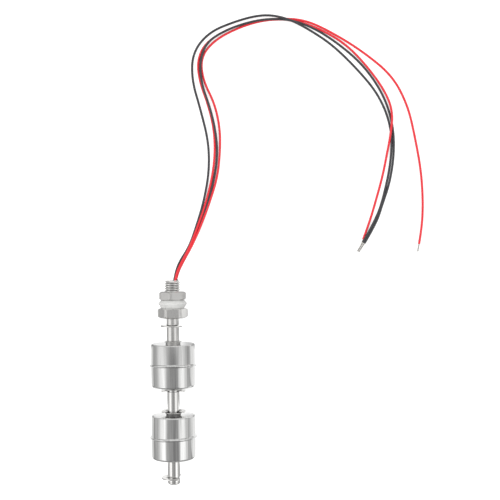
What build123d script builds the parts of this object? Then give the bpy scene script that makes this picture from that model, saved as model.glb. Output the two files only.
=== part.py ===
"""Two-point vertical float level switch with an M10 neck, lying on its side.

Millimetres. The stem runs along Y: its wires leave towards +Y and its closed tip points towards -Y.
The origin is on the stem's axis, in the sealing face of the hex flange, and +Z is up.
"""

import math
import os

from build123d import *

# Threaded neck: hex flange and M10 neck turned from one bar, bored for the wires
hex_across_flats = 17.0
hex_height = 6.4
hex_corner_turn = 36.0
neck_radius = 5.0
neck_length = 18.0
neck_chamfer = 0.9
socket_depth = 5.0
thread_pitch_radius = 4.51
thread_clear_of_nut = 0.5

# Lock nut and sealing ring on the neck
nut_across_flats = 16.0
nut_height = 5.5
nut_corner_turn = -5.0
nut_bore_gap = 0.02
wrench_chamfer_angle = 30.0
gasket_height = 5.25
gasket_face_radius = 7.4
gasket_rim_radius = 9.2
gasket_rim_place = 0.6
gasket_rim_width = 0.6
gasket_rim_round = 0.25
gasket_bore_gap = 0.1

# Stem tube and its welded tip
stem_radius = 4.0
stem_wall = 1.0
stem_overhang = 2.5
weld_gap = 0.02
tip_length = 2.5
tip_dome = 0.25
tip_dome_edge = 1.6
tip_corner = 1.28
tip_spigot = 4.0

# Retaining clips in the stem's grooves, and how far each one's mouth is turned from straight up
clip_radius = 7.9
clip_thickness = 0.8
clip_relief_radius = 5.5
clip_mouth_half_angle = 60.0
clip_prong_half_angle = 20.0
clip_side_prong_share = 1.6
groove_radius = 3.5
groove_width = 0.9
clip_grip_gap = 0.02
upper_clip_top_turn = 114.0
lower_clip_bottom_turn = 90.0

# Floats: two drawn cups welded at a seam flange, on a sleeve that slides on the stem.
# The upper one rests a little above its lower clip, the lower one a little under its upper clip.
upper_float_place = -37.15
lower_float_place = -83.3
upper_float_travel = 9.55
lower_float_travel = 10.6
upper_rest_gap = 0.35
lower_rest_gap = 0.2
float_half_height = 14.0
float_sheet = 0.3
float_seam_radius = 14.2
float_end_radius = 14.0
float_top_corner = 0.8
float_bottom_corner = 1.6
flange_radius = 15.3
flange_half_thickness = 0.5
flange_rim_round = 0.15
flange_root = 0.3
sleeve_half_length = 15.7
sleeve_bore_radius = 4.5
sleeve_wall = 0.3
lip_radius = 5.35
lip_height = 1.1
lip_round = 0.25
magnet_radius = 6.6
magnet_height = 4.0
magnet_gap = 0.05

# Reed switches in the stem, one for each float
upper_reed_place = -42.0
lower_reed_place = -88.0
reed_offset = -1.3
reed_glass_radius = 1.05
reed_glass_length = 12.0
reed_glass_wall = 0.3
reed_glass_round = 0.84
reed_lead_radius = 0.3
reed_lead_length = 3.0
reed_overlap = 1.6
blade_thickness = 0.2
blade_width = 0.9
blade_gap = 0.1
blade_into_lead = 0.5
reed_sleeve_wall = 0.25
reed_sleeve_gap = 0.05
reed_sleeve_length = 15.0

# Lead wires: insulation, conductor, and where each one leaves the neck (x, z)
wire_radius = 0.65
conductor_radius = 0.4
potting_length = 10.0
potting_gap = 0.02
exit_places = {
    "red_wire_1": (1.55, 1.35),
    "red_wire_2": (2.1, 0.0),
    "black_wire_1": (0.7, -0.2),
    "black_wire_2": (1.4, -1.5),
}
tinned_length = 5.5

# Inside the stem each wire bends into its own lane, and from there onto a lead of its reed switch
inner_bend_radius = 20.0
below_potting = 2.0
lane_start = -14.0
lane_end_gap = 9.0
lead_approach = 4.0
turn_back_gap = 3.0
turn_back_half_width = 1.0

# The wires lie free. Each leaves the neck straight, and its route then follows points chosen by eye,
# with every corner rounded by an arc that takes this share of its shorter run
straight_exit = 6.0
arc_share = 0.45
wire_routes = {
    "black_wire_1": [
        (4.6, 36.5, -5.2), (10.2, 49.7, -12.4),
        (18.1, 68.7, -14.6), (25.5, 94.4, -14.6), (26.5, 120.7, -14.6), (17.8, 145.9, -14.6),
        (19.0, 168.3, -14.6), (34.5, 183.7, -14.6), (61.0, 191.5, -14.6), (90.5, 186.7, -14.6),
        (116.5, 167.3, -14.6), (136.3, 140.4, -14.6), (146.0, 110.0, -14.6), (141.4, 80.3, -14.6),
        (131.8, 56.1, -14.6), (123.4, 42.5, -14.6),
    ],
    "black_wire_2": [
        (2.8, 37.0, -7.6), (7.7, 50.1, -13.9),
        (16.5, 69.4, -14.6), (23.7, 94.7, -14.6), (24.6, 120.3, -14.6), (15.8, 145.7, -14.6),
        (17.1, 169.2, -14.6), (33.5, 185.5, -14.6), (61.0, 193.5, -14.6), (91.5, 188.5, -14.6),
        (118.0, 168.6, -14.6), (138.0, 141.2, -14.6), (148.0, 110.0, -14.6), (143.2, 79.7, -14.6),
        (133.5, 55.1, -14.6), (125.4, 41.4, -14.6),
    ],
    "red_wire_1": [
        (2.2, 37.5, -2.2), (6.2, 52.0, -9.8),
        (14.2, 70.5, -14.6), (21.9, 95.0, -14.6), (22.8, 120.0, -14.6), (13.9, 145.4, -14.6),
        (15.2, 170.2, -14.6), (32.4, 187.3, -14.6), (61.0, 195.4, -14.6), (93.0, 191.0, -14.6),
        (121.0, 174.5, -14.6), (145.0, 150.5, -14.6), (158.5, 122.0, -14.6), (164.5, 91.0, -14.6),
        (166.0, 63.0, -14.6), (163.0, 41.5, -14.6),
    ],
    "red_wire_2": [
        (7.6, 36.0, -4.4), (12.6, 49.0, -12.0),
        (20.0, 68.0, -14.6), (27.4, 94.0, -14.6), (28.4, 121.0, -14.6), (19.8, 146.0, -14.6),
        (20.9, 167.5, -14.6), (35.5, 182.0, -14.6), (61.0, 189.5, -14.6), (89.5, 184.9, -14.6),
        (114.9, 165.9, -14.6), (134.4, 139.5, -14.6), (144.0, 110.0, -14.6), (139.5, 81.0, -14.6),
        (130.0, 57.0, -14.6), (121.3, 43.7, -14.6),
    ],
}

# Sizes that follow from the ones above
thread_engaged_end = gasket_height + nut_height + thread_clear_of_nut
clip_half = clip_thickness / 2
upper_lips = (upper_float_place - sleeve_half_length, upper_float_place + sleeve_half_length)
lower_lips = (lower_float_place - sleeve_half_length, lower_float_place + sleeve_half_length)
clip_places = {
    "upper_clip_top": (upper_lips[1] + upper_float_travel + clip_half, upper_clip_top_turn),
    "upper_clip_bottom": (upper_lips[0] - upper_rest_gap - clip_half, 0.0),
    "lower_clip_top": (lower_lips[1] + lower_rest_gap + clip_half, 0.0),
    "lower_clip_bottom": (lower_lips[0] - lower_float_travel - clip_half, lower_clip_bottom_turn),
}
stem_end = clip_places["lower_clip_bottom"][0] - stem_overhang
stem_bore_radius = stem_radius - stem_wall
sleeve_outer_radius = sleeve_bore_radius + sleeve_wall
stem_start = -hex_height + socket_depth
reed_half_length = reed_glass_length / 2 + reed_lead_length
reed_sleeve_bore = reed_glass_radius + reed_sleeve_gap
reed_sleeve_radius = reed_sleeve_bore + reed_sleeve_wall
potting_start = neck_length - potting_length

os.makedirs("parts", exist_ok=True)


def turned(outline, radii=None):
    """Solid of revolution about Y from (radius, height) points, with one fillet radius per point."""
    edge = FilletPolyline(*outline, radius=radii or [0] * len(outline), close=True)
    return revolve(make_face(edge), Axis.Y)


def along_stem(y, x=0.0, z=0.0):
    """Plane at a height on the stem, with its normal towards +Y and its own x still +X."""
    return Plane(origin=(x, y, z), x_dir=(1, 0, 0), z_dir=(0, 1, 0))


def rod(radius, start, end, x=0.0, z=0.0):
    """Round bar parallel to the stem between two heights."""
    return extrude(along_stem(start, x, z) * Circle(radius), end - start)


def seen_angle(degrees):
    """Turn about the stem, counted from straight up (+Z) towards +X, for a sketch on along_stem."""
    return degrees - 90.0


def wrench_hex(across_flats, start, end, corner_turn):
    """Hexagon along the stem whose corners are turned off in a cone at both faces."""
    corner = across_flats / 2 / math.cos(math.pi / 6)
    drop = (corner - across_flats / 2) * math.tan(math.radians(wrench_chamfer_angle))
    flats = RegularPolygon(across_flats / 2, 6, major_radius=False)
    prism = extrude(along_stem(start) * Rot(0, 0, seen_angle(corner_turn)) * flats, end - start)
    face = across_flats / 2
    cone_low = [(0, start), (face, start), (corner, start + drop)]
    cone_high = [(corner, end - drop), (face, end), (0, end)]
    return prism & turned(cone_low + cone_high)


def make_threaded_neck():
    """Hex flange and thread blank in one piece, with the wire bore and the socket for the stem.

    The free thread is drawn at its crests, and where the nut engages it both are at the pitch radius.
    """
    flange = wrench_hex(hex_across_flats, -hex_height, 0, hex_corner_turn)
    blank = turned(
        [
            (0, -hex_height / 2),
            (thread_pitch_radius, -hex_height / 2),
            (thread_pitch_radius, thread_engaged_end),
            (neck_radius, thread_engaged_end),
            (neck_radius, neck_length - neck_chamfer),
            (neck_radius - neck_chamfer, neck_length),
            (0, neck_length),
        ]
    )
    bore = rod(stem_bore_radius, -hex_height, neck_length)
    socket = rod(stem_radius + weld_gap, -hex_height, stem_start)
    return flange + blank - bore - socket


def make_lock_nut():
    """Thin hex nut that clamps the wall and the ring against the flange."""
    body = wrench_hex(nut_across_flats, gasket_height, gasket_height + nut_height, nut_corner_turn)
    return body - rod(thread_pitch_radius + nut_bore_gap, gasket_height, gasket_height + nut_height)


def make_seal_gasket():
    """Soft ring with a V-shaped rim, widest halfway up."""
    bore = neck_radius + gasket_bore_gap
    middle = gasket_height * gasket_rim_place
    return turned(
        [
            (bore, 0),
            (gasket_face_radius, 0),
            (gasket_rim_radius, middle - gasket_rim_width / 2),
            (gasket_rim_radius, middle + gasket_rim_width / 2),
            (gasket_face_radius, gasket_height),
            (bore, gasket_height),
        ],
        [0, 0, gasket_rim_round, gasket_rim_round, 0, 0],
    )


def make_stem_tube():
    """Tube with one turned groove for each clip."""
    tube = rod(stem_radius, stem_end, stem_start) - rod(stem_bore_radius, stem_end, stem_start)
    for place, _ in clip_places.values():
        low, high = place - groove_width / 2, place + groove_width / 2
        tube -= rod(stem_radius + stem_wall, low, high) - rod(groove_radius, low, high)
    return tube


def make_end_plug():
    """Welded tip: a slightly domed cap with a spigot inside the tube."""
    spigot = stem_bore_radius - weld_gap
    tip = stem_end - tip_length
    return turned(
        [
            (0, tip),
            (stem_radius - tip_dome_edge, tip + tip_dome / 2),
            (stem_radius, tip + tip_dome),
            (stem_radius, stem_end),
            (spigot, stem_end),
            (spigot, stem_end + tip_spigot),
            (0, stem_end + tip_spigot),
        ],
        [0, 0, tip_corner, 0, 0, 0, 0],
    )


def sector(radius, start_angle, end_angle):
    """Flat pie slice that a cutter is made from."""
    arc = CenterArc((0, 0), radius, start_angle, end_angle - start_angle)
    return make_face(Polyline(arc @ 1, (0, 0), arc @ 0) + arc)


def make_clip(place, mouth_turn):
    """E-shaped clip: a split disc on three prongs, open at its mouth."""
    inner = groove_radius + clip_grip_gap
    ring = Circle(clip_radius) - Circle(inner)
    mouth = sector(clip_radius * 2, -clip_mouth_half_angle, clip_mouth_half_angle)
    prong_end = clip_mouth_half_angle + clip_side_prong_share * clip_prong_half_angle
    for side in (1, -1):
        low, high = sorted((side * prong_end, side * (180 - clip_prong_half_angle)))
        ring -= sector(clip_relief_radius, low, high)
    profile = along_stem(place - clip_thickness / 2) * Rot(0, 0, seen_angle(mouth_turn)) * (ring - mouth)
    return extrude(profile, clip_thickness)


def make_float_cup(middle, side):
    """One drawn cup of a float, open at the seam, with its half of the seam flange."""
    hole = sleeve_outer_radius + weld_gap
    top = float_half_height
    outline = [
        (flange_radius, 0),
        (flange_radius, flange_half_thickness),
        (float_seam_radius, flange_half_thickness),
        (float_end_radius, top),
        (hole, top),
        (hole, top - float_sheet),
        (float_end_radius - float_sheet, top - float_sheet),
        (float_seam_radius - float_sheet, 0),
    ]
    corner = float_top_corner if side > 0 else float_bottom_corner
    radii = [flange_rim_round, flange_rim_round, flange_root, corner, 0, 0, corner - float_sheet, 0]
    return turned([(r, middle + side * y) for r, y in outline], radii)


def make_float_sleeve(middle):
    """Tube through the float, with a rolled lip at each end."""
    end = sleeve_half_length
    outline = [
        (sleeve_bore_radius, -end),
        (lip_radius, -end),
        (lip_radius, -end + lip_height),
        (sleeve_outer_radius, -end + lip_height),
        (sleeve_outer_radius, end - lip_height),
        (lip_radius, end - lip_height),
        (lip_radius, end),
        (sleeve_bore_radius, end),
    ]
    radii = [0, lip_round, lip_round, 0, 0, lip_round, lip_round, 0]
    return turned([(r, middle + y) for r, y in outline], radii)


def make_float_magnet(middle):
    """Ring magnet on the sleeve, level with the seam."""
    inner = sleeve_outer_radius + magnet_gap
    return rod(magnet_radius, middle - magnet_height / 2, middle + magnet_height / 2) - rod(
        inner, middle - magnet_height / 2, middle + magnet_height / 2
    )


def make_reed_glass(middle):
    """Sealed capsule round the two blades, with a hole for each lead."""
    half = reed_glass_length / 2
    outer = turned(
        [(0, -half), (reed_glass_radius, -half), (reed_glass_radius, half), (0, half)],
        [0, reed_glass_round, reed_glass_round, 0],
    )
    inside = reed_glass_radius - reed_glass_wall
    cavity_half = half - reed_glass_radius
    glass = outer - rod(inside, -cavity_half, cavity_half) - rod(reed_lead_radius + weld_gap, -half, half)
    return Pos(reed_offset, middle, 0) * glass


def make_reed_blade(middle, side):
    """Lead wire that is flattened into a contact blade inside the glass."""
    cavity_half = reed_glass_length / 2 - reed_glass_radius
    start, end = cavity_half - blade_into_lead, reed_half_length
    lead = rod(reed_lead_radius, start, end)
    offset = side * (blade_gap + blade_thickness) / 2
    blade_length = start + reed_overlap / 2
    blade = Pos(0, start - blade_length / 2, offset) * Box(blade_width, blade_length, blade_thickness)
    turn = 0 if side > 0 else 180
    return Pos(reed_offset, middle, 0) * Rot(0, 0, turn) * (lead + blade)


def make_reed_sleeve(middle):
    """Shrunk insulating sleeve round the capsule."""
    low, high = middle - reed_sleeve_length / 2, middle + reed_sleeve_length / 2
    return rod(reed_sleeve_radius, low, high, reed_offset) - rod(reed_sleeve_bore, low, high, reed_offset)


def corner_radii(points, largest=math.inf):
    """Arc at each inner point that is as large as the two runs beside it, or a limit, allow."""
    radii = []
    for before, here, after in zip(points, points[1:], points[2:]):
        run_in, run_out = Vector(here) - Vector(before), Vector(after) - Vector(here)
        turn = math.radians(run_in.get_angle(run_out))
        radii.append(min(arc_share * min(run_in.length, run_out.length) / math.tan(turn / 2), largest))
    return radii


def tube_along(points, radii, radius):
    """Round tube swept along straight runs joined by tangent arcs, and the length of its path."""
    path = FilletPolyline(*points, radius=radii)
    section = Plane(origin=path @ 0, z_dir=path % 0) * Circle(radius)
    return sweep(section, path=path), path


def make_potting(exits):
    """Resin plug in the neck's mouth, moulded round the four wires."""
    plug = rod(stem_bore_radius - potting_gap, potting_start, neck_length)
    for x, z in exits:
        plug -= rod(wire_radius + potting_gap, potting_start, neck_length, x, z)
    return plug


def inner_run(exit_place, side_lane, reed_middle, far_lead):
    """Points of a wire inside the stem, from the neck's end down to one lead of a reed switch."""
    x, z = exit_place
    lane_x, lane_z = side_lane
    points = [(x, neck_length, z), (x, potting_start - below_potting, z), (lane_x, lane_start, lane_z)]
    if far_lead:
        lead_end = reed_middle - reed_half_length
        turn_back = lead_end - turn_back_gap
        return points + [
            (lane_x, turn_back + turn_back_half_width, lane_z),
            ((lane_x + reed_offset) / 2, turn_back - turn_back_half_width, lane_z / 2),
            (reed_offset, turn_back + turn_back_half_width, 0),
            (reed_offset, lead_end, 0),
        ]
    lead_end = reed_middle + reed_half_length
    return points + [
        (lane_x, lead_end + lane_end_gap, lane_z),
        (reed_offset, lead_end + lead_approach, 0),
        (reed_offset, lead_end, 0),
    ]


def check_tube(name, solid, path, radius, radii):
    """Prints what shows that a tube is whole: its radii and its volume against section times length."""
    expected = math.pi * radius**2 * path.length
    print(name, "length", round(path.length, 1), "volume ratio", round(solid.volume / expected, 4))
    print("   radii", [round(value, 1) for value in radii])


def make_tinned_end(route):
    """Bare tinned end of the conductor, straight on from the insulation."""
    last, before = Vector(route[-1]), Vector(route[-2])
    direction = (last - before).normalized()
    return extrude(Plane(origin=last, z_dir=direction) * Circle(conductor_radius), tinned_length)


pieces = {
    "threaded_neck": make_threaded_neck(),
    "lock_nut": make_lock_nut(),
    "seal_gasket": make_seal_gasket(),
    "stem_tube": make_stem_tube(),
    "end_plug": make_end_plug(),
    "potting_plug": make_potting(exit_places.values()),
}
for name, (place, mouth) in clip_places.items():
    pieces[name] = make_clip(place, mouth)
for level, place in (("upper", upper_float_place), ("lower", lower_float_place)):
    pieces[f"{level}_float_top_cup"] = make_float_cup(place, 1)
    pieces[f"{level}_float_bottom_cup"] = make_float_cup(place, -1)
    pieces[f"{level}_float_sleeve"] = make_float_sleeve(place)
    pieces[f"{level}_float_magnet"] = make_float_magnet(place)
for level, place in (("upper", upper_reed_place), ("lower", lower_reed_place)):
    pieces[f"{level}_reed_glass"] = make_reed_glass(place)
    pieces[f"{level}_reed_blade_a"] = make_reed_blade(place, 1)
    pieces[f"{level}_reed_blade_b"] = make_reed_blade(place, -1)
    pieces[f"{level}_reed_sleeve"] = make_reed_sleeve(place)

# Lanes beside the upper switch, so that the four wires pass each other inside the bore
lanes = {
    "black_wire_1": ((0.1, -0.2), upper_reed_place, False),
    "black_wire_2": ((1.35, -1.75), upper_reed_place, True),
    "red_wire_1": ((1.35, 1.75), lower_reed_place, False),
    "red_wire_2": ((2.0, 0.0), lower_reed_place, True),
}
for name, (lane, reed_middle, far_lead) in lanes.items():
    points = inner_run(exit_places[name], lane, reed_middle, far_lead)
    radii = corner_radii(points, largest=inner_bend_radius)
    solid, path = tube_along(points, radii, wire_radius)
    check_tube(name + "_inner", solid, path, wire_radius, radii)
    pieces[name + "_inner"] = solid
for name, laid_points in wire_routes.items():
    x, z = exit_places[name]
    route = [(x, neck_length, z), (x, neck_length + straight_exit, z)] + laid_points
    radii = corner_radii(route)
    solid, path = tube_along(route, radii, wire_radius)
    check_tube(name, solid, path, wire_radius, radii)
    pieces[name] = solid
    pieces[name.replace("wire", "tinned_end")] = make_tinned_end(route)

for name, solid in pieces.items():
    export_step(solid, f"parts/{name}.step")
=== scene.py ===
import math

import bmesh
import bpy
from mathutils import Matrix, Vector


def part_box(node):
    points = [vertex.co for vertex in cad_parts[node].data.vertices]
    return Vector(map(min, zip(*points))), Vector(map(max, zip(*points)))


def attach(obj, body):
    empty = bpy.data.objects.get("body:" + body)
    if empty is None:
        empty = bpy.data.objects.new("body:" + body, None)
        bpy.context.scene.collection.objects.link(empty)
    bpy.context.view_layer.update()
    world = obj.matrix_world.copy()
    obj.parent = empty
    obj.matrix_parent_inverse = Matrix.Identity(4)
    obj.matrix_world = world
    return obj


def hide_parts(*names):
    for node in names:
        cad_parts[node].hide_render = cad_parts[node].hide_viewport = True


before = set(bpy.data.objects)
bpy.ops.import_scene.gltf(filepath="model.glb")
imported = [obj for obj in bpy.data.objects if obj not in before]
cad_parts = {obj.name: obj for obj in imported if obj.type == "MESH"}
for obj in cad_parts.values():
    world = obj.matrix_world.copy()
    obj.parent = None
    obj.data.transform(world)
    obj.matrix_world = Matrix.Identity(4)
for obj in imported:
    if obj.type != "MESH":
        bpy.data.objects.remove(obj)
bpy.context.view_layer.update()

# The axes are the frame's own: stem along Y with its wires towards +Y, +Z up, the table under the
# floats' flanges. Sizes below are millimetres, and become metres where a mesh is made.
MM = 0.001
table_height = -15.3

# Sizes that the frame doesn't give by itself
neck_bore, mouth_chamfer, socket_radius = 3.0, 0.35, 4.02
hex_flats, hex_turn = 17.0, 36.0
nut_flats, nut_turn, nut_bore = 16.0, -5.0, 4.35
thread_radius, thread_pitch, thread_depth = 5.2, 1.5, 1.15
thread_start, thread_chamfer, thread_turns = -1.0, 1.1, 15.0
gasket_bore, gasket_end_radius, gasket_rim = 5.0, 7.4, 0.4
stem_wall, groove_radius, groove_width = 1.0, 3.5, 1.3
tip_flat, tip_edge = 0.5, 0.8
float_sheet, float_end_radius, float_seam_radius = 0.3, 14.15, 14.35
top_corner, bottom_corner, seam_bead = 0.8, 1.6, 0.75
sleeve_bore, sleeve_radius, lip, lip_edge, lip_height = 4.5, 4.8, 5.5, 0.45, 0.85
clip_edge, clip_inset = 0.1, 0.02
wire_radius, conductor_radius, conductor_hidden = 0.76, 0.48, 0.4
outer_strands, strand_turns, strand_steps = 6, 0.8, 24
tinned_length = {"black": 7.0, "red": 5.2}
# A gap that keeps two pieces of one joint apart
fit_gap = 0.02
# How far each float's seam flange is out of true: fore and aft, and sideways
seam_lean = {"upper": (0.85, 0.0), "lower": (0.0, 0.3)}

# Lead wires as they lie, by their splines' own points: each leaves the neck straight, drops to the
# table and follows the arch. Where one wire lies on another it is a diameter higher, and a point
# between those levels is on its way up or down.
ON_TABLE = table_height + wire_radius
ON_ONE, ON_TWO = ON_TABLE + 2 * wire_radius, ON_TABLE + 4 * wire_radius
wire_points = {
    "black_wire_1": [
        (1.1, 18, -0.3), (1.9, 22.6, -0.4), (4.4, 30, -1.6), (10.7, 40, -6.8), (15.2, 54, -13.4),
        (20.1, 70, ON_TABLE), (23.8, 90, ON_TABLE), (23.5, 110, ON_TABLE), (18.1, 132, ON_TABLE),
        (12.7, 151, ON_TABLE), (13.3, 169, ON_TABLE), (24.2, 182.6, ON_TABLE), (42, 189.8, ON_TABLE),
        (57, 193.4, -13.6), (68, 192.8, ON_TWO), (80, 189.2, ON_TWO), (92, 183.3, ON_TABLE),
        (106, 174, ON_TABLE), (122, 158.4, ON_TABLE), (137.5, 139.8, ON_TABLE),
        (145.8, 117.5, ON_TABLE), (145, 95, ON_TABLE), (139.6, 71, ON_TABLE), (134.6, 57, -13.9),
        (125.6, 41.8, ON_ONE),
    ],
    "black_wire_2": [
        (1.7, 18, -1.4), (2.6, 22.7, -1.6), (6, 29.5, -2.8), (12.3, 41, -8.2), (17.3, 54, -13.8),
        (22.5, 68, ON_TABLE), (27.9, 88, ON_TABLE), (29.5, 104, ON_TABLE), (28.1, 118, ON_ONE),
        (24.7, 132.5, ON_ONE), (19.2, 148, ON_ONE), (18.1, 163, ON_ONE), (23.2, 176.7, ON_ONE),
        (40, 185.6, ON_ONE), (58.5, 190.6, ON_ONE), (76, 190.8, ON_ONE), (92.5, 186.1, ON_TABLE),
        (111, 174.1, ON_TABLE), (127.5, 159.4, ON_TABLE), (140.5, 140, ON_TABLE),
        (146.6, 120, ON_TABLE), (147.2, 101, ON_TABLE), (144.2, 82, ON_TABLE), (139, 67, ON_TABLE),
        (134.8, 54.5, -13.9), (126.6, 41.2, ON_ONE),
    ],
    "red_wire_1": [
        (1.9, 18, 1.2), (2.8, 22.7, 1.1), (5.7, 29.2, 0.2), (11.5, 40.5, -6.2), (16.2, 54, -13.0),
        (21.1, 68, ON_TABLE), (25.9, 86, ON_TABLE), (27.9, 103, ON_TABLE), (27.1, 119, ON_TABLE),
        (23.4, 134.5, ON_TABLE), (18, 149.5, ON_TABLE), (16.4, 163.5, ON_TABLE),
        (21.7, 175.4, ON_TABLE), (36.5, 184.7, ON_TABLE), (54.5, 189.9, ON_TABLE),
        (73, 191.6, ON_TABLE), (89.5, 190.1, ON_TABLE), (108, 180.9, ON_TABLE),
        (127, 168.8, ON_TABLE), (146.4, 152.7, ON_TABLE), (156.6, 132.5, ON_TABLE),
        (161.3, 110.5, ON_TABLE), (165, 89, ON_TABLE), (166.1, 68, ON_TABLE), (165.2, 51.5, ON_TABLE),
        (163.2, 40.5, ON_TABLE),
    ],
    "red_wire_2": [
        (2.3, 18, -0.1), (3.4, 22.7, -0.2), (6.6, 29.4, -0.9), (12.5, 40.5, -6.6), (18, 53.5, -13.1),
        (23.3, 67.5, ON_TABLE), (29.2, 85.5, ON_TABLE), (31.1, 102, ON_TABLE), (31.3, 118, ON_TABLE),
        (27.9, 135, ON_TABLE), (20, 151, ON_TABLE), (18.8, 166.2, ON_TABLE), (28.2, 177.5, ON_TABLE),
        (45, 186, ON_TABLE), (62, 190.7, ON_TABLE), (80, 190.8, ON_TABLE), (98.5, 184.3, ON_TABLE),
        (116, 173.7, ON_TABLE), (130.5, 158, ON_TABLE), (141.8, 141.5, -13.9), (146.3, 128, ON_ONE),
        (144.6, 113, ON_ONE), (142, 99, ON_TABLE), (139.2, 85.5, ON_TABLE), (134.5, 69, ON_TABLE),
        (130.4, 55.5, ON_TABLE), (126, 43.8, ON_TABLE),
    ],
}


def add(tree, kind, inputs=None, **settings):
    """Adds a node with its settings. Each input takes a value, or another node's output as a link."""
    node = tree.nodes.new(kind)
    for key, value in settings.items():
        setattr(node, key, value)
    for key, value in (inputs or {}).items():
        if isinstance(value, bpy.types.NodeSocket):
            tree.links.new(value, node.inputs[key])
        else:
            node.inputs[key].default_value = value
    return node


def linear(code):
    """Linear colour of an sRGB hex code."""
    values = [int(code[at : at + 2], 16) / 255 for at in (1, 3, 5)]
    return [v / 12.92 if v <= 0.04045 else ((v + 0.055) / 1.055) ** 2.4 for v in values] + [1.0]


def empty_material(name):
    """New material with only its output, and the tree to build it in."""
    material = bpy.data.materials.new(name)
    material.use_nodes = True
    tree = material.node_tree
    tree.nodes.clear()
    return material, tree, add(tree, "ShaderNodeOutputMaterial")


def finish_shader(tree, output, inputs):
    """Principled shader with these inputs, joined to the material's output."""
    shader = add(tree, "ShaderNodeBsdfPrincipled", inputs)
    tree.links.new(shader.outputs["BSDF"], output.inputs["Surface"])


def noise(tree, place, scale, detail):
    """Noise of this scale, in cycles per metre, over the place."""
    sizes = {"Vector": place, "Scale": scale, "Detail": detail}
    return add(tree, "ShaderNodeTexNoise", sizes).outputs[0]


def blend(tree, share, first, second):
    """Colour that goes from the first to the second with the share."""
    colours = {0: share, 6: first, 7: second}
    return add(tree, "ShaderNodeMix", colours, data_type="RGBA").outputs[2]


def bumps(tree, height, relief_um):
    """Normal of a surface whose height varies by this relief."""
    sizes = {"Height": height, "Strength": 1.0, "Distance": relief_um * 1e-6}
    return add(tree, "ShaderNodeBump", sizes).outputs[0]


def painted_crevice_shade(tree, tone, colour, darkest, unshaded):
    """Tone with painted shade of this colour in its crevices, where ambient occlusion finds them closed
    in.

    The last two say how open the surroundings are where the painted shade is darkest and where it is
    gone.
    """
    hollow = add(tree, "ShaderNodeAmbientOcclusion", {"Distance": 1.6 * MM}, samples=8)
    reach = {"Value": hollow.outputs["AO"], "From Min": darkest, "From Max": unshaded}
    lit_share = add(tree, "ShaderNodeMapRange", reach).outputs[0]
    return blend(tree, lit_share, linear(colour), tone)


def steel(name, light, dark, roughness, spread, grain_mm, relief_um, along, crevice_shade=None):
    """Stainless steel whose marks run along the stem ("axis") or round it ("turned").

    Grain is the marks' spacing, relief their depth, spread how far the roughness varies. Marks
    along the stem are 60 times as long as wide and show in the tone too. Turned steel has clouds
    of about 7 mm in its tone instead. The last holds the inputs of the painted crevice shade.
    """
    material, tree, output = empty_material(name)
    place = add(tree, "ShaderNodeTexCoord").outputs["Object"]
    scale = 1 / (grain_mm * MM)
    if along == "turned":
        flat = add(tree, "ShaderNodeVectorMath", {0: place, 1: (1, 0, 1)}, operation="MULTIPLY")
        reach = add(tree, "ShaderNodeVectorMath", {0: flat.outputs[0]}, operation="LENGTH")
        height = add(tree, "ShaderNodeSeparateXYZ", {0: place}).outputs["Y"]
        rings = {"X": reach.outputs["Value"], "Y": height}
        marks = noise(tree, add(tree, "ShaderNodeCombineXYZ", rings).outputs[0], scale, 3.0)
        share = noise(tree, place, 140.0, 2.0)
    else:
        stretch = {"Vector": place, "Scale": (1, 1 / 60, 1)}
        marks = noise(tree, add(tree, "ShaderNodeMapping", stretch).outputs[0], scale, 3.0)
        lines = {"Value": marks, "From Min": 0.32, "From Max": 0.68}
        share = add(tree, "ShaderNodeMapRange", lines).outputs[0]
    tone = blend(tree, share, linear(light), linear(dark))
    # Painted shade: a darker tone where ambient occlusion finds the surroundings close
    if crevice_shade:
        tone = painted_crevice_shade(tree, tone, *crevice_shade)
    span = {"Value": marks, "From Min": 0.25, "From Max": 0.75}
    span.update({"To Min": roughness - spread, "To Max": roughness + spread})
    rough = add(tree, "ShaderNodeMapRange", span).outputs[0]
    shader = {"Base Color": tone, "Metallic": 1.0, "Roughness": rough}
    finish_shader(tree, output, {**shader, "Normal": bumps(tree, marks, relief_um)})
    return material


def dull(name, light, dark, roughness, grain_mm, relief_um, **inputs):
    """Moulded or sintered surface: two close tones and a fine grain. More shader inputs by name."""
    material, tree, output = empty_material(name)
    place = add(tree, "ShaderNodeTexCoord").outputs["Object"]
    grain = noise(tree, place, 1 / (grain_mm * MM), 3.0)
    tone = blend(tree, grain, linear(light), linear(dark))
    shader = {"Base Color": tone, "Roughness": roughness, "Normal": bumps(tree, grain, relief_um)}
    shader.update({key.replace("_", " "): value for key, value in inputs.items()})
    finish_shader(tree, output, shader)
    return material


# Turned 304 stainless: the hex flange. Satin, with fine rings that spread its highlights
turned_steel = steel("turned_stainless", "#e4e3e1", "#dad9d7", 0.28, 0.06, 0.12, 1.2, "turned")
# The thread's rolled flanks: brighter and smoother than the turned faces, with painted shade greying
# their roots
thread_steel = steel(
    "rolled_stainless", "#f5f4f2", "#edecea", 0.18, 0.04, 0.12, 1.0, "turned", ("#6a6968", 0.1, 0.45)
)
# The nut's own finish: tumbled, so it spreads what it mirrors and looks even
nut_steel = steel("tumbled_stainless", "#d2d1cf", "#c8c7c5", 0.4, 0.08, 0.2, 3.0, "turned")
# Drawn and polished 304 tube: mirror bands, drawn out along its length, with painted shade darkening it
# in its grooves and under the clips
polished_steel = steel(
    "polished_stainless_tube", "#e9e8e6", "#e2e1df", 0.14, 0.04, 0.15, 0.4, "axis",
    ("#3a3938", 0.2, 0.85),
)
# The same steel on the floats' sleeves, with painted shade under their lips: grey on the upper one
# and nearly black on the lower one
sleeve_steel = {
    level: steel(f"{level}_sleeve_stainless", "#dddcda", "#d2d1cf", 0.2, 0.05, 0.15, 0.6, "axis", crevice_shade)
    for level, crevice_shade in (("upper", ("#8a8988", 0.1, 0.7)), ("lower", ("#141313", 0.35, 0.95)))
}
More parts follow.
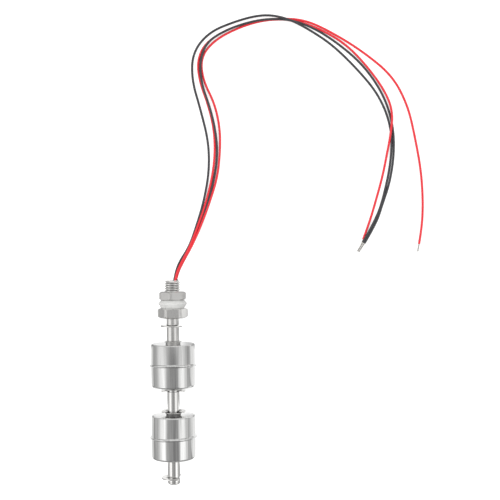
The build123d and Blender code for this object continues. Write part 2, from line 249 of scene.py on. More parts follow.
# Deep-drawn 304 sheet, barrel polished: a mirror that is a little soft, with faint draw lines
float_steel = steel("deep_drawn_stainless", "#e3e3e2", "#c8c8c7", 0.085, 0.03, 0.9, 7.0, "axis")
# Stamped spring steel, tumbled: greyer, with a soft sheen, and painted shade nearly black where it
# grips the stem
spring_steel = steel(
    "stamped_spring_steel", "#e4e3e1", "#d8d7d5", 0.26, 0.08, 0.2, 1.5, "axis",
    ("#2a2928", 0.25, 0.85),
)
# Tinned copper strands: dull silver with a faint warm tone
tinned_copper = steel("tinned_copper", "#e6e4df", "#d6d4ce", 0.42, 0.08, 0.1, 2.0, "axis")
# Drawn nickel-iron wire of a reed switch: pale warm metal
reed_alloy = steel("nickel_iron", "#c6c0b4", "#b5afa3", 0.3, 0.06, 0.1, 0.8, "axis")
# Moulded silicone rubber: matte and milky, light even in its grooves
silicone = dull(
    "moulded_silicone", "#cdcdcb", "#c5c5c3", 0.62, 0.4, 4.0,
    Subsurface_Weight=0.6, Subsurface_Radius=(1, 1, 1), Subsurface_Scale=0.0012,
)
# Extruded PVC insulation: even colour under a soft gloss
red_pvc = dull("red_pvc", "#dc2834", "#d1222e", 0.4, 0.5, 3.0)
black_pvc = dull("black_pvc", "#3a3a3d", "#303033", 0.42, 0.5, 3.0)
# Cast black epoxy: glossy, nearly even
epoxy = dull("cast_epoxy", "#2b2b2e", "#232326", 0.18, 1.2, 2.0)
# Sintered ferrite: dark grey with a fine dry grain
ferrite = dull("sintered_ferrite", "#47464a", "#38373b", 0.7, 0.15, 8.0)
# Heat-shrunk polyolefin: black satin with a slight ripple
shrink_sleeve = dull("shrunk_polyolefin", "#2a2a2c", "#222224", 0.5, 0.8, 10.0)
# Reed switch capsule: clear soda glass with a faint green body
reed_glass = dull(
    "sealed_glass", "#eef7f2", "#e6f2ec", 0.04, 2.0, 0.5, Transmission_Weight=1.0, IOR=1.51
)


def rounded(points, radii, steps=4):
    """Closed outline with an arc of each corner's radius, as (radius, height) vectors.

    A short run on both sides of each arc keeps the long faces' shading true.
    """
    hold, outline = 0.02, []
    for at, radius in enumerate(radii):
        corner = Vector(points[at])
        if not radius:
            outline.append(corner)
            continue
        back = (Vector(points[at - 1]) - corner).normalized()
        on = (Vector(points[(at + 1) % len(points)]) - corner).normalized()
        half = back.angle(on) / 2
        centre = corner + (back + on).normalized() * radius / math.sin(half)
        first = (corner + back * radius / math.tan(half) - centre).normalized()
        last = (corner + on * radius / math.tan(half) - centre).normalized()
        outline.append(centre + first * radius + back * hold)
        outline += [centre + first.slerp(last, step / steps) * radius for step in range(steps + 1)]
        outline.append(centre + last * radius + on * hold)
    return outline


def object_of(mesh, name, material):
    """Object of a finished mesh: merged, faces outward, smooth with its real edges sharp."""
    shape = bmesh.new()
    shape.from_mesh(mesh)
    bmesh.ops.remove_doubles(shape, verts=shape.verts, dist=1e-7)
    bmesh.ops.recalc_face_normals(shape, faces=shape.faces)
    shape.to_mesh(mesh)
    shape.free()
    mesh.polygons.foreach_set("use_smooth", [True] * len(mesh.polygons))
    mesh.set_sharp_from_angle(angle=math.radians(32))
    mesh.materials.clear()
    mesh.materials.append(material)
    piece = bpy.data.objects.new(name, mesh)
    bpy.context.scene.collection.objects.link(piece)
    return piece


def stand_round(name, material, outline_at, angles):
    """Ring round the stem's axis. Its closed outline may change with the angle, from +Z to +X."""
    rows = [outline_at(angle) for angle in angles]
    points = [
        (r * math.sin(angle) * MM, y * MM, r * math.cos(angle) * MM)
        for angle, row in zip(angles, rows)
        for r, y in row
    ]
    count, turns = len(rows[0]), len(rows)
    faces = []
    for turn in range(turns):
        for step in range(count):
            here, there = turn * count, (turn + 1) % turns * count
            on = (step + 1) % count
            faces.append((here + step, here + on, there + on, there + step))
    mesh = bpy.data.meshes.new(name)
    mesh.from_pydata(points, [], faces)
    return object_of(mesh, name, material)


def lathe(name, material, points, radii, sides=96):
    """Turned piece with one outline all round."""
    outline = rounded(points, radii)
    angles = [math.tau * side / sides for side in range(sides)]
    return stand_round(name, material, lambda angle: outline, angles)


def put(piece, body, slot, *nodes):
    """The piece rides on a body and stands for CAD nodes, which it hides. Its slot is not used."""
    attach(piece, body)
    if nodes:
        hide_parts(*nodes)
    return piece


def reach_of(node):
    """Lowest and highest height of a CAD node on the stem, and its radius, in millimetres."""
    low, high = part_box(node)
    return low.y / MM, high.y / MM, high.z / MM


def hex_angles(turn):
    """Angles round a hexagon: close together at its corners, even between them."""
    near = [0, 0.5, 1.0, 1.4, 1.6, 3, 6, 10, 15, 20, 25, 30]
    steps = sorted({side * step for side in (1, -1) for step in near if side * step > -30})
    return [math.radians(turn + 60 * corner + step) for corner in range(6) for step in steps]


def hex_ring(name, material, across, turn, ends, hole, sinks, cuts, edge):
    """Hexagon with soft corners, turned off at both ends, with a countersunk hole.

    Ends, sinks and cuts are pairs for the low end and the high one: its height, how far the hole
    widens there, and how far its face stays inside the flats. Edge is the high face's rim radius.
    """
    flat, corner_radius = across / 2, 0.5
    centre = (flat - corner_radius) / math.cos(math.pi / 6)
    (low, high), (low_sink, high_sink) = ends, sinks
    low_face, high_face = flat - cuts[0], flat - cuts[1]
    slope = math.tan(math.radians(30))

    def outline_at(angle):
        off = (math.degrees(angle) - turn + 30) % 60 - 30
        off = math.radians(off)
        wall = flat / math.cos(math.pi / 6 - abs(off))
        inside = corner_radius**2 - (centre * math.sin(off)) ** 2
        if inside > 0:
            wall = min(wall, centre * math.cos(off) + math.sqrt(inside))
        points = [
            (hole, low + low_sink), (hole + low_sink, low), (low_face, low),
            (wall, low + (wall - low_face) * slope), (wall, high - (wall - high_face) * slope),
            (high_face, high), (hole + high_sink, high), (hole, high - high_sink),
        ]
        return rounded(points, [0, 0, 0.12, 0.12, edge / 2, edge, 0.06, 0], steps=3)

    return stand_round(name, material, outline_at, hex_angles(turn))


def tree_of(name, sizes):
    """Empty Geometry Nodes tree with one named number input per size, and its output."""
    tree = bpy.data.node_groups.new(name, "GeometryNodeTree")
    for size in sizes:
        tree.interface.new_socket(size, in_out="INPUT", socket_type="NodeSocketFloat")
    tree.interface.new_socket("Material", in_out="INPUT", socket_type="NodeSocketMaterial")
    tree.interface.new_socket("Mesh", in_out="OUTPUT", socket_type="NodeSocketGeometry")
    return tree, add(tree, "NodeGroupInput").outputs, add(tree, "NodeGroupOutput")


def grow(name, tree, values):
    """Plain mesh that a tree makes from its named values."""
    mesh = bpy.data.meshes.new(name)
    holder = bpy.data.objects.new(name + "_holder", mesh)
    bpy.context.scene.collection.objects.link(holder)
    modifier = holder.modifiers.new("grow", "NODES")
    modifier.node_group = tree
    for item in tree.interface.items_tree:
        if item.in_out == "INPUT":
            modifier[item.identifier] = values[item.name]
    state = bpy.context.evaluated_depsgraph_get()
    grown = bpy.data.meshes.new_from_object(holder.evaluated_get(state))
    bpy.data.objects.remove(holder)
    grown.name = name
    return grown


def reckon(tree, steps, known):
    """Adds a math node for each step of (result, operation, inputs). Gives all results by name."""
    for result, operation, *inputs in steps:
        links = {}
        for at, value in enumerate(inputs):
            links[at] = known[value] if isinstance(value, str) else value
        known[result] = add(tree, "ShaderNodeMath", links, operation=operation).outputs[0]
    return known


def move_points(tree, geometry, target):
    """Geometry whose points are put where the X, Y and Z say."""
    place = add(tree, "ShaderNodeCombineXYZ", target).outputs[0]
    moved = {"Geometry": geometry, "Position": place}
    return add(tree, "GeometryNodeSetPosition", moved).outputs[0]


def finish_tree(tree, geometry, material, output):
    """Makes the geometry real, gives it the material and joins it to the tree's output."""
    real = add(tree, "GeometryNodeRealizeInstances", {"Geometry": geometry}).outputs[0]
    coated = add(tree, "GeometryNodeSetMaterial", {"Geometry": real, "Material": material})
    tree.links.new(coated.outputs[0], output.inputs[0])


def make_thread():
    """Rolled metric thread as a grid sheared along its helix, held between two heights.

    Sixteen rows a pitch: five on the crest, three in the root, four on each flank.
    """
    sizes = ["Pitch", "Radius", "Depth", "Start", "End", "Chamfer", "Pitches", "Sides"]
    tree, given, output = tree_of("rolled_thread", sizes)
    counts = reckon(tree, [
        ("rows", "MULTIPLY_ADD", "Pitches", 16.0, 1.0),
        ("columns", "ADD", "Sides", 1.0),
    ], {size: given[size] for size in sizes})
    vertices = {"Vertices X": counts["columns"], "Vertices Y": counts["rows"]}
    grid = add(tree, "GeometryNodeMeshGrid", {"Size X": 1.0, "Size Y": 1.0, **vertices})
    place = add(tree, "ShaderNodeSeparateXYZ", {0: add(tree, "GeometryNodeInputPosition").outputs[0]})
    known = {size: given[size] for size in sizes}
    known.update(x=place.outputs["X"], y=place.outputs["Y"])
    steps = [
        ("turn", "ADD", "x", 0.5),
        ("row", "ADD", "y", 0.5),
        ("winding", "MULTIPLY", "row", "Pitches"),
        ("climb", "SUBTRACT", "winding", "turn"),
        ("free_height", "MULTIPLY_ADD", "climb", "Pitch", "Start"),
        ("held_low", "MAXIMUM", "free_height", "Start"),
        ("height", "MINIMUM", "held_low", "End"),
        ("phase", "FRACT", "winding"),
        ("centred", "MULTIPLY_ADD", "phase", 2.0, -1.0),
        ("from_root", "ABSOLUTE", "centred"),
        ("below_crest", "SUBTRACT", 0.65, "from_root"),
        ("fall", "DIVIDE", "below_crest", 0.5),
        ("fall_low", "MAXIMUM", "fall", 0.0),
        ("fall_held", "MINIMUM", "fall_low", 1.0),
        ("cut", "MULTIPLY", "fall_held", "Depth"),
        ("ridge", "SUBTRACT", "Radius", "cut"),
        ("chamfered", "SUBTRACT", "Radius", "Chamfer"),
        ("to_end", "SUBTRACT", "End", "height"),
        ("to_start", "SUBTRACT", "height", "Start"),
        ("end_limit", "ADD", "chamfered", "to_end"),
        ("start_limit", "ADD", "chamfered", "to_start"),
        ("under_end", "MINIMUM", "ridge", "end_limit"),
        ("reach", "MINIMUM", "under_end", "start_limit"),
        ("angle", "MULTIPLY", "turn", math.tau),
        ("sine", "SINE", "angle"),
        ("cosine", "COSINE", "angle"),
        ("to_x", "MULTIPLY", "reach", "sine"),
        ("to_z", "MULTIPLY", "reach", "cosine"),
    ]
    known = reckon(tree, steps, known)
    target = {"X": known["to_x"], "Y": known["height"], "Z": known["to_z"]}
    moved = move_points(tree, grid.outputs["Mesh"], target)
    merged = add(tree, "GeometryNodeMergeByDistance", {"Geometry": moved, "Distance": 0.02 * MM})
    finish_tree(tree, merged.outputs[0], given["Material"], output)
    return tree


def close_tube(mesh, low_rings, high_rings):
    """Carries a tube's open ends inwards over (radius, height) rings, joined in the bore."""
    shape = bmesh.new()
    shape.from_mesh(mesh)
    bmesh.ops.dissolve_degenerate(shape, edges=shape.edges, dist=1e-6)
    open_edges = [edge for edge in shape.edges if edge.is_boundary]
    middle = sum(edge.verts[0].co.y for edge in open_edges) / len(open_edges)
    ends = []
    for rings, upper in ((low_rings, False), (high_rings, True)):
        edges = [edge for edge in open_edges if (edge.verts[0].co.y > middle) == upper]
        for radius, height in rings:
            fresh = bmesh.ops.extrude_edge_only(shape, edges=edges)["geom"]
            lines = [item for item in fresh if isinstance(item, bmesh.types.BMEdge)]
            edges = [line for line in lines if line.is_boundary]
            for vertex in [item for item in fresh if isinstance(item, bmesh.types.BMVert)]:
                turn = math.atan2(vertex.co.x, vertex.co.z)
                vertex.co = (radius * MM * math.sin(turn), height * MM, radius * MM * math.cos(turn))
        ends += edges
    bmesh.ops.bridge_loops(shape, edges=ends)
    shape.to_mesh(mesh)
    shape.free()


def build_neck():
    """Hex flange and threaded neck of one bar, bored for the wires."""
    low, high, _ = reach_of("threaded_neck")
    values = {
        "Pitch": thread_pitch * MM, "Radius": thread_radius * MM, "Depth": thread_depth * MM,
        "Start": thread_start * MM, "End": high * MM, "Chamfer": thread_chamfer * MM,
        "Pitches": thread_turns, "Sides": 96.0, "Material": thread_steel,
    }
    mesh = grow("neck_thread", make_thread(), values)
    mouth = [(neck_bore + mouth_chamfer, high), (neck_bore, high - mouth_chamfer)]
    close_tube(mesh, [(neck_bore, thread_start)], mouth)
    put(object_of(mesh, "neck_thread", thread_steel), "stem", "turned_steel", "threaded_neck")
    flange = hex_ring(
        "hex_flange", turned_steel, hex_flats, hex_turn, (low, 0), socket_radius,
        sinks=(0.15, 0.1), cuts=(0.6, 0.3), edge=0.4,
    )
    put(flange, "stem", "turned_steel", "threaded_neck")


def build_nut():
    """Thin lock nut with a countersunk thread on each side."""
    ends = reach_of("lock_nut")[:2]
    nut = hex_ring(
        "lock_nut_body", nut_steel, nut_flats, nut_turn, ends, nut_bore,
        sinks=(0.6, 0.6), cuts=(0.7, 0.7), edge=0.15,
    )
    put(nut, "stem", "turned_steel", "lock_nut")


def build_gasket():
    """Soft sealing ring with its V-shaped rim, nearer to the nut."""
    low, high, rim = reach_of("seal_gasket")
    middle = low + (high - low) * 0.6
    points = [
        (gasket_bore, low), (gasket_end_radius, low), (rim, middle - gasket_rim / 2),
        (rim, middle + gasket_rim / 2), (gasket_end_radius, high), (gasket_bore, high),
    ]
    ring = lathe("sealing_ring", silicone, points, [0, 0.15, 0.2, 0.2, 0.15, 0])
    put(ring, "stem", "silicone", "seal_gasket")


def build_stem():
    """Stem tube with soft-edged grooves, and its welded tip."""
    low, high, radius = reach_of("stem_tube")
    clips = [f"{level}_clip_{side}" for level in ("upper", "lower") for side in ("top", "bottom")]
    inner = radius - stem_wall
    points, radii = [(inner, low), (radius, low)], [0, 0.1]
    for place in sorted(sum(reach_of(clip)[:2]) / 2 for clip in clips):
        start, end = place - groove_width / 2, place + groove_width / 2
        points += [(radius, start), (groove_radius, start), (groove_radius, end), (radius, end)]
        radii += [0.08, 0.08, 0.08, 0.08]
    points += [(radius, high), (inner, high)]
    radii += [0.1, 0]
    put(lathe("stem_body", polished_steel, points, radii), "stem", "polished_steel", "stem_tube")
    start, end, _ = reach_of("end_plug")
    tip = [
        (0, start + tip_flat), (radius, start + tip_edge), (radius, low - fit_gap),
        (inner - fit_gap, low - fit_gap), (inner - fit_gap, end), (0, end),
    ]
    tip = lathe("stem_tip", polished_steel, tip, [0, 1.3, 0.1, 0, 0.3, 0])
    put(tip, "stem", "polished_steel", "end_plug")


def build_float(level):
    """Two drawn cups, welded all round at the seam flange, on their sleeve."""
    body = f"{level}_float"
    low, high, _ = reach_of(f"{level}_float_sleeve")
    middle = (low + high) / 2
    flange = reach_of(f"{level}_float_top_cup")[2]
    for side, half in ((1, "top"), (-1, "bottom")):
        node = f"{level}_float_{half}_cup"
        start, end, _ = reach_of(node)
        tall = end - start

        def outline_at(angle, side=side, tall=tall):
            bead = seam_bead + 0.04 * math.sin(3 * angle + side) + 0.03 * math.sin(7 * angle)
            corner = top_corner if side > 0 else bottom_corner
            fore, sideways = seam_lean[level]
            lean = side * (fore * math.cos(angle) + sideways * math.sin(angle))
            points = [
                (flange, lean), (flange, lean + bead), (float_seam_radius, lean + bead),
                (float_end_radius, tall), (sleeve_radius + fit_gap, tall),
                (sleeve_radius + fit_gap, tall - float_sheet),
                (float_end_radius - float_sheet, tall - float_sheet),
                (float_seam_radius - float_sheet, lean),
            ]
            radii = [0, bead - 0.05, 0.3, corner, 0, 0, corner - float_sheet, 0]
            return [(r, middle + side * y) for r, y in rounded(points, radii, steps=5)]

        angles = [math.tau * turn / 144 for turn in range(144)]
        cup = stand_round(f"{level}_{half}_cup", float_steel, outline_at, angles)
        put(cup, body, "float_steel", node)
    points = [
        (sleeve_bore, low), (lip, low), (lip, low + lip_edge), (sleeve_radius, low + lip_height),
        (sleeve_radius, high - lip_height), (lip, high - lip_edge), (lip, high), (sleeve_bore, high),
    ]
    radii = [0.3, 0.2, 0.2, 0.2, 0.2, 0.2, 0.2, 0.3]
    sleeve = lathe(f"{level}_sleeve", sleeve_steel[level], points, radii)
    put(sleeve, body, "polished_steel", f"{level}_float_sleeve")


def build_clip(node):
    """Stamped clip: the CAD solid's own shape with its sheared edges rolled over by tumbling."""
    shape = bmesh.new()
    shape.from_mesh(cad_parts[node].data)
    bmesh.ops.remove_doubles(shape, verts=shape.verts, dist=1e-6)
    flat, steep = math.radians(0.5), math.radians(50)
    bmesh.ops.dissolve_limit(shape, angle_limit=flat, verts=shape.verts, edges=shape.edges)
    joined = [edge for edge in shape.edges if len(edge.link_faces) == 2]
    rims = [edge for edge in joined if edge.calc_face_angle() > steep]
    bmesh.ops.bevel(
        shape, geom=rims, offset=clip_edge * MM, segments=2, profile=0.5,
        affect="EDGES", clamp_overlap=True,
    )
    # A rim inside each larger face keeps its shading flat
    faces = [face for face in shape.faces if face.calc_area() > 0.3 * MM * MM]
    bmesh.ops.inset_individual(
        shape, faces=faces, thickness=clip_inset * MM, use_even_offset=True
    )
    mesh = bpy.data.meshes.new(node + "_stamping")
    shape.to_mesh(mesh)
    shape.free()
    put(object_of(mesh, node + "_stamping", spring_steel), "stem", "spring_steel", node)


def build_potting():
    """Resin in the neck's mouth, drawn up a little at the wall, and above it a black lump among the
    wires that is painted shade at the mouth.
    """
    low, high, _ = reach_of("potting_plug")
    wall = neck_bore - fit_gap
    points = [(0, low), (wall, low), (wall, high - 0.3), (wall - 0.6, high - 0.55), (0, high - 0.6)]
    resin = lathe("mouth_resin", epoxy, points, [0, 0, 0.05, 0.4, 0], sides=48)
    put(resin, "stem", "epoxy", "potting_plug")
    # A black resin lump among the wires above the mouth: painted shade where the wires go in
    root, top = high - 0.8, high + 1.2
    points = [(0, root), (1.7, root), (1.6, high + 0.5), (1.0, top), (0, top)]
    mouth_shade_lump = lathe("mouth_shade_resin", epoxy, points, [0, 0, 0.4, 0.3, 0], sides=32)
    among_wires = Vector((1.95, 0, -0.1)) * MM
    mouth_shade_lump.data.transform(Matrix.Translation(among_wires))
    put(mouth_shade_lump, "stem", "epoxy", "potting_plug")


def make_strands():
    """Conductor of one straight strand in six twisted ones, soldered, along +Z from the origin."""
    sizes = ["Length", "Strand Radius", "Lay Radius", "Turns"]
    tree, given, output = tree_of("tinned_strands", sizes)
    stations = {"Count": strand_steps + 1, "Offset": (0, 0, 1)}
    line = add(tree, "GeometryNodeMeshLine", stations).outputs[0]
    known = {size: given[size] for size in sizes}
    known["step"] = add(tree, "GeometryNodeInputIndex").outputs[0]
    known = reckon(tree, [
        ("part", "DIVIDE", "step", float(strand_steps)),
        ("height", "MULTIPLY", "part", "Length"),
        ("turned", "MULTIPLY", "part", "Turns"),
        ("angle", "MULTIPLY", "turned", math.tau),
        ("cosine", "COSINE", "angle"),
        ("sine", "SINE", "angle"),
        ("x", "MULTIPLY", "cosine", "Lay Radius"),
        ("y", "MULTIPLY", "sine", "Lay Radius"),
        ("around", "MULTIPLY", "step", math.tau / outer_strands),
    ], known)
    circle = {"Resolution": 8, "Radius": given["Strand Radius"]}
    ring = add(tree, "GeometryNodeCurvePrimitiveCircle", circle).outputs[0]
    tubes = []
    for target in ({"X": known["x"], "Y": known["y"], "Z": known["height"]}, {"Z": known["height"]}):
        curve = add(tree, "GeometryNodeMeshToCurve", {0: move_points(tree, line, target)}).outputs[0]
        sweep = {"Curve": curve, "Profile Curve": ring, "Fill Caps": True}
        tubes.append(add(tree, "GeometryNodeCurveToMesh", sweep).outputs[0])
    origin = {"Count": outer_strands, "Offset": (0, 0, 0)}
    places = add(tree, "GeometryNodeMeshLine", origin).outputs[0]
    turn = add(tree, "ShaderNodeCombineXYZ", {"Z": known["around"]}).outputs[0]
    copies = {"Points": places, "Instance": tubes[0], "Rotation": turn}
    laid = add(tree, "GeometryNodeInstanceOnPoints", copies).outputs[0]
    joined = add(tree, "GeometryNodeJoinGeometry")
    for part in (laid, tubes[1]):
        tree.links.new(part, joined.inputs[0])
    finish_tree(tree, joined.outputs[0], given["Material"], output)
    return tree


def spline_points(curve_object):
    """Points along a wire's own spline, as the evaluated curve without a bevel gives them."""
    depth, curve_object.data.bevel_depth = curve_object.data.bevel_depth, 0.0
    state = bpy.context.evaluated_depsgraph_get()
    mesh = bpy.data.meshes.new_from_object(curve_object.evaluated_get(state))
    curve_object.data.bevel_depth = depth
    points = [vertex.co.copy() for vertex in mesh.vertices]
    bpy.data.meshes.remove(mesh)
    return points


def build_wires():
    """Four limp lead wires and their bare tinned ends."""
    strands = make_strands()
    lay = conductor_radius * 2 / 3
    for name, places in wire_points.items():
        colour, number = name.split("_wire_")
        curve = bpy.data.curves.new(name + "_lead", "CURVE")
        curve.dimensions = "3D"
        spline = curve.splines.new("NURBS")
        spline.points.add(len(places) - 1)
        for point, place in zip(spline.points, places):
            point.co = [value * MM for value in place] + [1.0]
            point.radius = wire_radius * MM
        spline.order_u = 3
        spline.use_endpoint_u = True
        spline.resolution_u = 12
        curve.resolution_u = 12
        curve.bevel_depth = 1.0
        curve.bevel_resolution = 4
        curve.use_fill_caps = True
        lead = bpy.data.objects.new(name + "_lead", curve)
        bpy.context.scene.collection.objects.link(lead)
        curve.materials.append(red_pvc if colour == "red" else black_pvc)
        put(lead, "stem", colour + "_insulation", name)

        line = spline_points(lead)
        length = sum((b - a).length for a, b in zip(line, line[1:]))
        heading = (line[-1] - line[-2]).normalized()
        bare = tinned_length[colour]
        mesh = grow(f"{colour}_strands_{number}", strands, {
            "Length": (bare + conductor_hidden) * MM, "Strand Radius": lay * MM / 2,
            "Lay Radius": lay * MM, "Turns": strand_turns, "Material": tinned_copper,
        })
        # The bare end goes on level, and sinks to the table where its wire lies on another
        level = (table_height + conductor_radius) * MM
        drop = min(0.0, (level - line[-1].z) / (bare * MM))
        heading = Vector((heading.x, heading.y, 0)).normalized() + Vector((0, 0, drop))
        to_place = heading.to_track_quat("Z", "Y").to_matrix().to_4x4()
        start = line[-1] - heading.normalized() * conductor_hidden * MM
        mesh.transform(Matrix.Translation(start) @ to_place)
        end = object_of(mesh, f"{colour}_strands_{number}", tinned_copper)
        put(end, "stem", "tinned_copper", f"{colour}_tinned_end_{number}")
        tuple(value * MM for value in places[0])


def coat_inside():
    """Materials for the CAD nodes that stay as they are, inside the stem and the floats."""
    coats = {"magnet": ferrite, "glass": reed_glass, "blade": reed_alloy, "reed_sleeve": shrink_sleeve}
    for name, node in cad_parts.items():
        chosen = next((coat for key, coat in coats.items() if key in name), None)
        if name.endswith("_inner"):
            chosen = red_pvc if name.startswith("red") else black_pvc
        if chosen:
            node.data.materials.clear()
            node.data.materials.append(chosen)


def grey(level):
    """Grey colour of this brightness."""
    return (level, level, level, 1)


def reached(tree, value, first, last):
    """Share of the way that the value has gone from the first number to the last."""
    span = {"Value": value, "From Min": first, "From Max": last}
    return add(tree, "ShaderNodeMapRange", span).outputs[0]


def level_ramp(tree, part, levels):
    """Brightness over (position, level) stops."""
    ramp = add(tree, "ShaderNodeValToRGB", {"Fac": part})
    stops = ramp.color_ramp.elements
    while len(stops) < len(levels):
        stops.new(0.5)
    for stop, (position, level) in zip(stops, levels):
        stop.position = position
        stop.color = grey(level)
    return ramp.outputs[0]


def either(tree, first, second):
    """One where either of two rays is the case."""
    return add(tree, "ShaderNodeMath", {0: first, 1: second}, operation="MAXIMUM").outputs[0]


# Brightness of the table in reflections, by millimetres to the right of the stem: beside the neck,
# beside the floats and beside the bare stem
table_levels = [
    [((across + 200) / 400, level) for across, level in levels]
    for levels in (
        [
            (-200, 0.7), (-140, 0.68), (-90, 0.6), (-66, 0.45), (-50, 0.4), (-43, 0.45), (-36, 0.6),
            (-25, 0.55), (-10, 0.6), (-7, 1.3), (7, 1.3), (10, 0.65), (18, 0.6), (26, 0.85), (33, 1.12),
            (52, 1.08), (72, 0.97), (115, 0.83), (200, 0.66),
        ],
        [
            (-200, 0.6), (-105, 0.58), (-80, 0.52), (-66, 0.44), (-56, 0.4), (-49, 0.52), (-45, 0.84),
            (-36, 0.88), (-26, 0.95), (-14, 1.25), (14, 1.25), (30, 1.08), (52, 1.0),
            (72, 0.92), (115, 0.76), (160, 0.6), (200, 0.48),
        ],
        [
            (-200, 0.6), (-105, 0.56), (-80, 0.5), (-56, 0.4), (-26, 0.36), (-18, 0.4), (-13, 1.0),
            (5, 1.0), (8, 0.7), (16, 0.5), (40, 0.42), (70, 0.45), (200, 0.6),
        ],
    )
]
# The stem's parts where each of the last two rows holds, by millimetres along it
beside_floats = [((along + 150) / 200, share) for along, share in [(-29, 1), (-24, 0)]]
bare_stem = [
    ((along + 150) / 200, share)
    for along, share in [
        (-108, 1), (-104, 0), (-68, 0), (-65, 1), (-60, 1), (-56, 0), (-28, 0), (-24, 1), (-12, 1),
        (-9, 0),
    ]
]
# Brightness of the tent by degrees to the right of straight up, as these mirror it in turn: the
# neck, the upper float's top cup, the two cups between, and the lower float's bottom cup
tent_levels = [
    [((lean + 180) / 360, level) for lean, level in levels]
    for levels in (
        [
            (-91, 0.71), (-84, 0.78), (-73, 0.94), (-50, 1.05), (-42, 0.9), (-33, 0.68), (-27, 0.62),
            (-12, 0.6), (0, 0.56), (9, 0.6), (19, 0.68), (27, 0.8), (34, 0.88), (47, 0.9),
            (58, 0.78), (68, 0.62), (80, 0.52), (88, 0.5), (91, 0.65),
        ],
        [
            (-90, 0.62), (-84, 0.72), (-77, 0.88), (-70, 0.98), (-57, 1.09), (-42, 1.08), (-35, 0.98),
            (-30, 0.76), (-24, 0.5), (-18, 0.43), (-10, 0.38), (-3, 0.31), (7, 0.24), (12, 0.28),
            (21, 0.42), (27, 0.54), (32, 0.62), (38, 0.82), (48, 0.92), (56, 0.92), (66, 0.76),
            (73, 0.67), (79, 0.6), (86, 0.48), (92, 0.42),
        ],
        [
            (-90, 0.62), (-84, 0.72), (-77, 0.86), (-70, 1.1), (-58, 1.26), (-47, 1.38), (-41, 1.34),
            (-36, 1.05), (-32, 0.7), (-27, 0.48), (-21, 0.45), (-12, 0.43), (-1, 0.39), (8, 0.34),
            (18, 0.37), (24, 0.42), (30, 0.62), (35, 0.95), (41, 1.18), (48, 1.3), (55, 1.3),
            (61, 1.2), (67, 1.03), (73, 0.9), (78, 0.76), (84, 0.64), (90, 0.5), (95, 0.44),
        ],
        [
            (-90, 0.6), (-84, 0.68), (-77, 0.84), (-70, 1.08), (-64, 1.26), (-58, 1.46), (-43, 1.5),
            (-39, 1.3), (-36, 0.75), (-32, 0.5), (-26, 0.52), (-20, 0.44), (-8, 0.41), (0, 0.35),
            (7, 0.3), (22, 0.31), (29, 0.36), (34, 0.46), (38, 0.8), (42, 1.4), (46, 1.5), (60, 1.5),
            (67, 1.32), (75, 1.07), (80, 0.9), (85, 0.68), (90, 0.48), (96, 0.44),
        ],
    )
]


def build_table():
    """White table that keeps the switch's shadow. Seen or through glass it is lifted to white.

    In reflections it glows by table_levels instead: the row beside the neck, and the two other
    rows where beside_floats and bare_stem say.
    """
    mesh = bpy.data.meshes.new("table")
    half, gap, glow = 3.0, 0.01, 0.55
    corners = [(-half, -half), (half, -half), (half, half), (-half, half)]
    mesh.from_pydata([(x, y, (table_height - gap) * MM) for x, y in corners], [], [(0, 1, 2, 3)])
    table = bpy.data.objects.new("table", mesh)
    bpy.context.scene.collection.objects.link(table)
    material, tree, output = empty_material("white_card")
    place = add(tree, "ShaderNodeTexCoord").outputs["Object"]
    axes = add(tree, "ShaderNodeSeparateXYZ", {0: place}).outputs
    across, along = reached(tree, axes["X"], -0.2, 0.2), reached(tree, axes["Y"], -0.15, 0.05)
    mirrored, *rows = [level_ramp(tree, across, levels) for levels in table_levels]
    for row, where in zip(rows, (beside_floats, bare_stem)):
        mirrored = blend(tree, level_ramp(tree, along, where), mirrored, row)
    path = add(tree, "ShaderNodeLightPath").outputs
    seen = either(tree, path["Is Camera Ray"], path["Is Transmission Ray"])
    lift = add(tree, "ShaderNodeMath", {0: seen, 1: glow}, operation="MULTIPLY").outputs[0]
    card = add(tree, "ShaderNodeBsdfDiffuse", {"Color": linear("#d0d0d0")}).outputs[0]
    light = add(tree, "ShaderNodeEmission", {"Color": grey(1), "Strength": lift}).outputs[0]
    lit = add(tree, "ShaderNodeAddShader", {0: card, 1: light}).outputs[0]
    mirror = add(tree, "ShaderNodeEmission", {"Color": mirrored, "Strength": 1.0}).outputs[0]
    both = add(tree, "ShaderNodeMixShader", {0: path["Is Glossy Ray"], 1: lit, 2: mirror})
    tree.links.new(both.outputs[0], output.inputs["Surface"])
    mesh.materials.append(material)


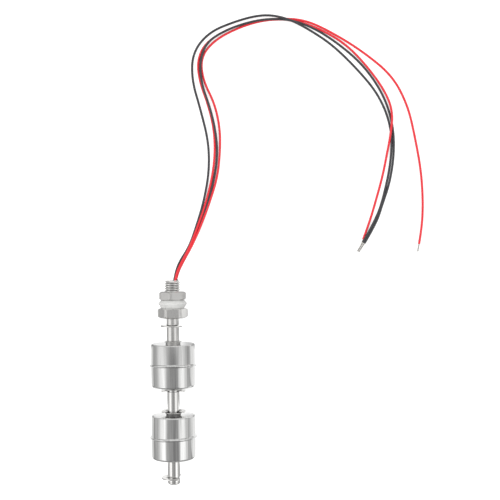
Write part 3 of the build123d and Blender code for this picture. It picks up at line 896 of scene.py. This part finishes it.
def light_tent():
    """Soft tent, dim overhead where the camera looks in, with bright sides.

    Its first row of tent_levels holds above the neck. Further towards the tip's end the others
    follow, each between two directions along Y, and then the two end walls. The camera sees
    white, and the dull pieces are lit evenly.
    """
    world = bpy.data.worlds.new("light_tent")
    bpy.context.scene.world = world
    world.use_nodes = True
    tree = world.node_tree
    tree.nodes.clear()
    place = add(tree, "ShaderNodeTexCoord").outputs["Generated"]
    way = add(tree, "ShaderNodeSeparateXYZ", {0: place}).outputs
    lean = add(tree, "ShaderNodeMath", {0: way["X"], 1: way["Z"]}, operation="ARCTAN2").outputs[0]
    part = reached(tree, lean, -math.pi, math.pi)
    walls, *further = [level_ramp(tree, part, levels) for levels in tent_levels]
    starts, ends = (-0.07, -0.1, -0.18), (-0.084, -0.155, -0.24)
    for row, first, last in zip(further, starts, ends):
        walls = blend(tree, reached(tree, way["Y"], first, last), walls, row)
    end_walls = ((0.3, 0.65, 1.0), (-0.5, -0.75, 0.3))
    for first, last, level in end_walls:
        walls = blend(tree, reached(tree, way["Y"], first, last), walls, grey(level))
    path = add(tree, "ShaderNodeLightPath").outputs
    walls = blend(tree, path["Is Diffuse Ray"], walls, grey(0.9))
    seen = either(tree, path["Is Camera Ray"], path["Is Transmission Ray"])
    shown = blend(tree, seen, walls, grey(1))
    sky = add(tree, "ShaderNodeBackground", {"Color": shown, "Strength": 1.0}).outputs[0]
    add(tree, "ShaderNodeOutputWorld", {"Surface": sky})


def place_lamps():
    """Two large soft lamps for the dull pieces, kept out of the metal's reflections."""
    aim = Vector((0.05, 0.04, 0))
    for name, place, watts in (
        ("left_lamp", Vector((-0.5, 0.1, 0.9)), 5.0), ("right_lamp", Vector((0.7, 0.2, 0.9)), 3.5),
    ):
        lamp = bpy.data.lights.new(name, "AREA")
        lamp.shape = "RECTANGLE"
        lamp.size, lamp.size_y = 0.6, 0.9
        lamp.energy = watts
        holder = bpy.data.objects.new(name, lamp)
        bpy.context.scene.collection.objects.link(holder)
        holder.location = place
        holder.rotation_euler = (aim - place).to_track_quat("-Z", "Y").to_euler()
        holder.visible_glossy = False


def place_camera():
    """Camera straight above, its picture turned by half a degree, as the photograph's."""
    lens = bpy.data.cameras.new("camera")
    lens.sensor_width = 36.0
    lens.lens = 64.8
    lens.clip_end = 20.0
    camera = bpy.data.objects.new("camera", lens)
    bpy.context.scene.collection.objects.link(camera)
    camera.location = (50.56 * MM, 37.35 * MM, 585 * MM)
    camera.rotation_euler = (0, 0, math.radians(-0.47))
    bpy.context.scene.camera = camera


build_neck()
build_nut()
build_gasket()
build_stem()
for level in ("upper", "lower"):
    build_float(level)
    for side in ("top", "bottom"):
        build_clip(f"{level}_clip_{side}")
build_potting()
build_wires()
coat_inside()
build_table()
light_tent()
place_lamps()
place_camera()
bpy.context.scene.view_settings.view_transform = "Standard"

bpy.context.view_layer.update()
